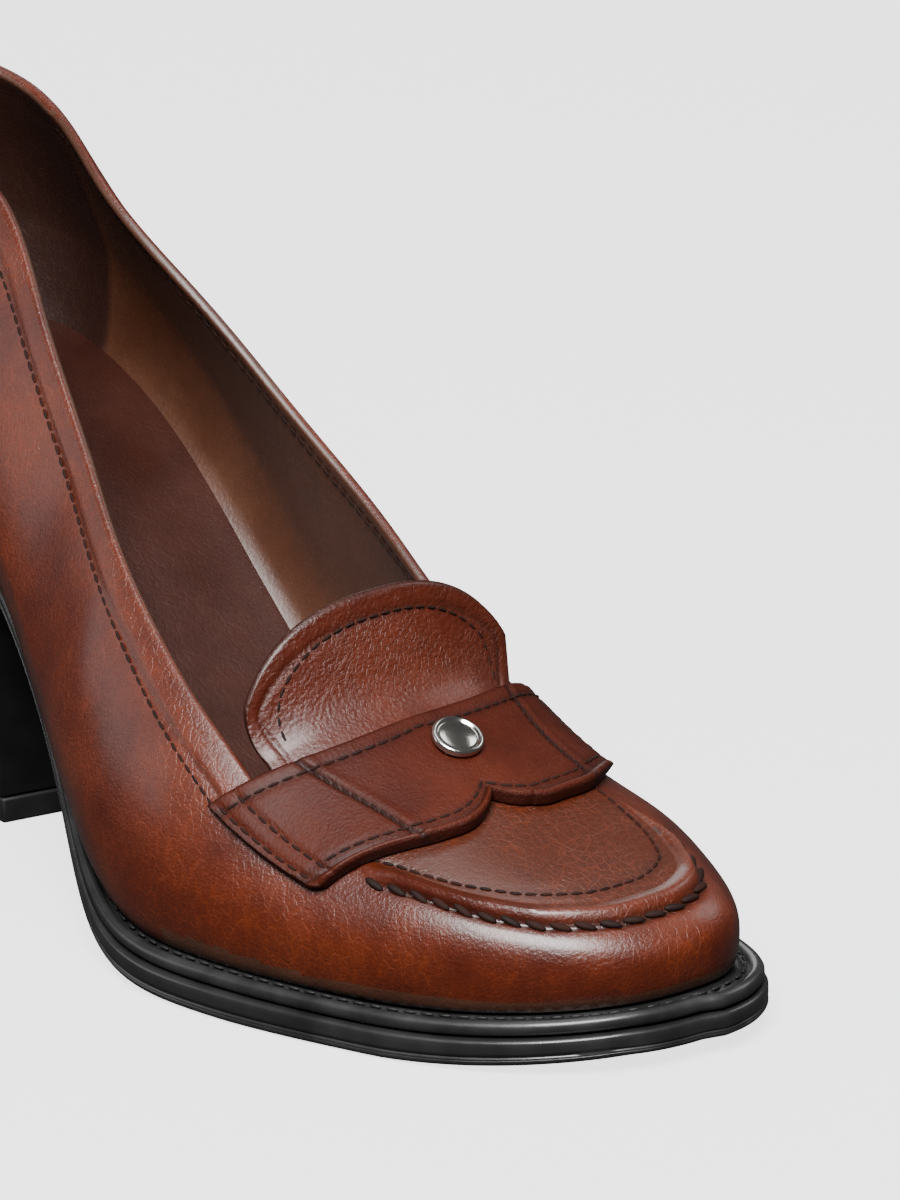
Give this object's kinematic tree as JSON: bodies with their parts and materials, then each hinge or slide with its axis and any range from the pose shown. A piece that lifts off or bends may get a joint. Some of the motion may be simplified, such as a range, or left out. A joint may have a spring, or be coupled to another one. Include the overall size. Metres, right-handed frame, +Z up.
{
  "type": "loafer pump",
  "caption": "Leather loafer pump for the right foot with a saddle strap, a standing tongue, a raised apron seam, a stitched welt and a black block heel.",
  "frame": {"origin": "middle of the bottom of the shoe's bounding box, on the floor", "axes": "+X from the heel to the toe, +Y to the wearer's left, which is the inner side of this right shoe, +Z up"},
  "size_m": [0.2378, 0.09, 0.1342],
  "materials": {
    "upper_leather": "burnished red-brown leather, glossy at the toe",
    "strap_leather": "semi-matte brown leather",
    "tongue_leather": "pebbled semi-matte brown leather",
    "insole_leather": "smooth lining leather",
    "black_welt": "black stitched welt",
    "black_sole_rubber": "semi-gloss black sole",
    "black_heel": "semi-gloss black block heel",
    "black_heel_rubber": "matte black rubber",
    "plain_silver": "polished silver-coloured metal"
  },
  "bodies": {
    "root": {"upper": "upper_leather", "saddle_strap": "strap_leather", "tongue": "tongue_leather", "insole": "insole_leather", "welt": "black_welt", "outsole": "black_sole_rubber", "heel": "black_heel", "heel_lift": "black_heel_rubber", "strap_stud": "plain_silver"}
  },
  "joints": []
}
